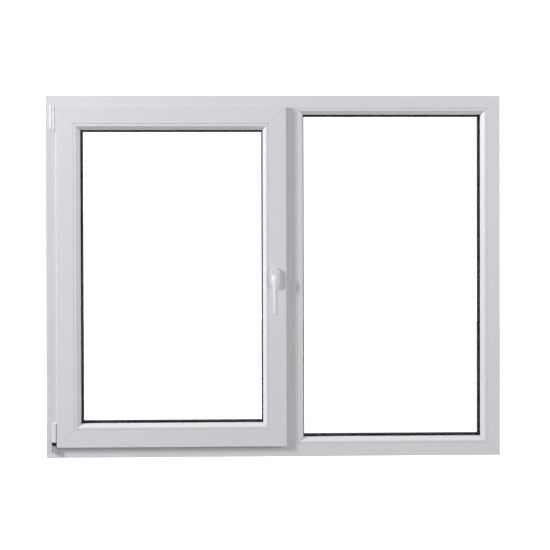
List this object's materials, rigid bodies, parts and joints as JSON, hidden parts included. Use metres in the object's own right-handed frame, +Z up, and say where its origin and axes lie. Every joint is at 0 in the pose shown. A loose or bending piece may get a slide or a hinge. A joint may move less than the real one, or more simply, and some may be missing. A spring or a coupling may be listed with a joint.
{
  "type": "tilt and turn window",
  "caption": "Two-light white plastic window: tilt-and-turn sash with lever handle on the left, fixed double glazing on the right, mullion between.",
  "frame": {"origin": "middle of the frame's underside, half way through the frame's depth", "axes": "+X to the right seen from the room, +Y outwards from the room, +Z up"},
  "size_m": [1.5, 0.1403, 1.193],
  "materials": {
    "white_plastic": "extruded plastic, silky gloss",
    "cover_plastic": "moulded plastic, fine satin",
    "white_lacquer": "powder-coated aluminium, semi-gloss",
    "black_rubber": "extruded seal, matt",
    "spacer_black": "warm-edge spacer, matt",
    "clear_glass": "clear float glass",
    "galvanised_steel": "galvanised",
    "zinc_plated_steel": "silver zinc plating"
  },
  "bodies": {
    "frame": {"frame_head": "white_plastic", "frame_bottom_rail": "white_plastic", "frame_left_jamb": "white_plastic", "frame_right_jamb": "white_plastic", "mullion": "white_plastic", "frame_head_steel": "galvanised_steel", "frame_bottom_rail_steel": "galvanised_steel", "frame_left_jamb_steel": "galvanised_steel", "frame_right_jamb_steel": "galvanised_steel", "mullion_steel": "galvanised_steel", "frame_stop_seal": "black_rubber", "drain_cap_left": "cover_plastic", "drain_cap_right": "cover_plastic", "fixed_outer_gasket": "black_rubber", "fixed_outer_pane": "clear_glass", "fixed_spacer": "spacer_black", "fixed_inner_pane": "clear_glass", "fixed_inner_gasket": "black_rubber", "fixed_bead_left": "white_plastic", "fixed_bead_top": "white_plastic", "fixed_bead_right": "white_plastic", "fixed_bead_bottom": "white_plastic", "keep_side_upper": "zinc_plated_steel", "keep_side_lower": "zinc_plated_steel", "keep_top": "zinc_plated_steel", "stay_bearing": "zinc_plated_steel", "stay_bearing_cover": "cover_plastic", "corner_bearing": "zinc_plated_steel"},
    "hinge_pins": {"stay_pin": "zinc_plated_steel", "corner_pivot_pin": "zinc_plated_steel"},
    "sash": {"sash_hinge_stile": "white_plastic", "sash_top_rail": "white_plastic", "sash_lock_stile": "white_plastic", "sash_bottom_rail": "white_plastic", "sash_hinge_stile_steel": "galvanised_steel", "sash_top_rail_steel": "galvanised_steel", "sash_lock_stile_steel": "galvanised_steel", "sash_bottom_rail_steel": "galvanised_steel", "sash_overlap_seal": "black_rubber", "sash_outer_gasket": "black_rubber", "sash_outer_pane": "clear_glass", "sash_spacer": "spacer_black", "sash_inner_pane": "clear_glass", "sash_inner_gasket": "black_rubber", "sash_bead_left": "white_plastic", "sash_bead_top": "white_plastic", "sash_bead_right": "white_plastic", "sash_bead_bottom": "white_plastic", "sash_faceplate": "zinc_plated_steel", "corner_drive": "zinc_plated_steel", "gearbox": "zinc_plated_steel", "corner_hinge": "zinc_plated_steel", "corner_hinge_cover": "cover_plastic", "handle_rosette": "white_lacquer"},
    "stay": {"stay_arm": "zinc_plated_steel", "stay_arm_cap": "cover_plastic"},
    "handle": {"handle_lever": "white_lacquer", "handle_spindle": "zinc_plated_steel"},
    "side_rod": {"drive_rod_side": "zinc_plated_steel"},
    "top_rod": {"drive_rod_top": "zinc_plated_steel"}
  },
  "joints": [
    {"name": "sash_turn", "type": "hinge", "parent": "frame", "child": "hinge_pins", "pos_m": [-0.7195, -0.044, 0.6], "axis": [0, 0, -1], "range_deg": [0, 90]},
    {"name": "sash_tilt", "type": "hinge", "parent": "hinge_pins", "child": "sash", "pos_m": [-0.7195, -0.044, 0.048], "axis": [1, 0, 0], "range_deg": [0, 7.5]},
    {"name": "stay_swing", "type": "hinge", "parent": "hinge_pins", "child": "stay", "pos_m": [-0.7195, -0.044, 1.15], "axis": [0, 0, -1], "range_deg": [0, 24]},
    {"name": "handle_turn", "type": "hinge", "parent": "sash", "child": "handle", "pos_m": [0.005, -0.05, 0.593], "axis": [0, 1, 0], "range_deg": [0, 180]},
    {"name": "side_rod_slide", "type": "slide", "parent": "sash", "child": "side_rod", "axis": [0, 0, 1], "range_m": [0, 0.0361]},
    {"name": "top_rod_slide", "type": "slide", "parent": "sash", "child": "top_rod", "axis": [-1, 0, 0], "range_m": [0, 0.0361]}
  ],
  "couplings": [
    {"joint": "stay_swing", "follows": "sash_tilt", "ratio": 3.17},
    {"joint": "side_rod_slide", "follows": "handle_turn", "m_per_rad": 0.01145},
    {"joint": "top_rod_slide", "follows": "handle_turn", "m_per_rad": 0.01145}
  ]
}
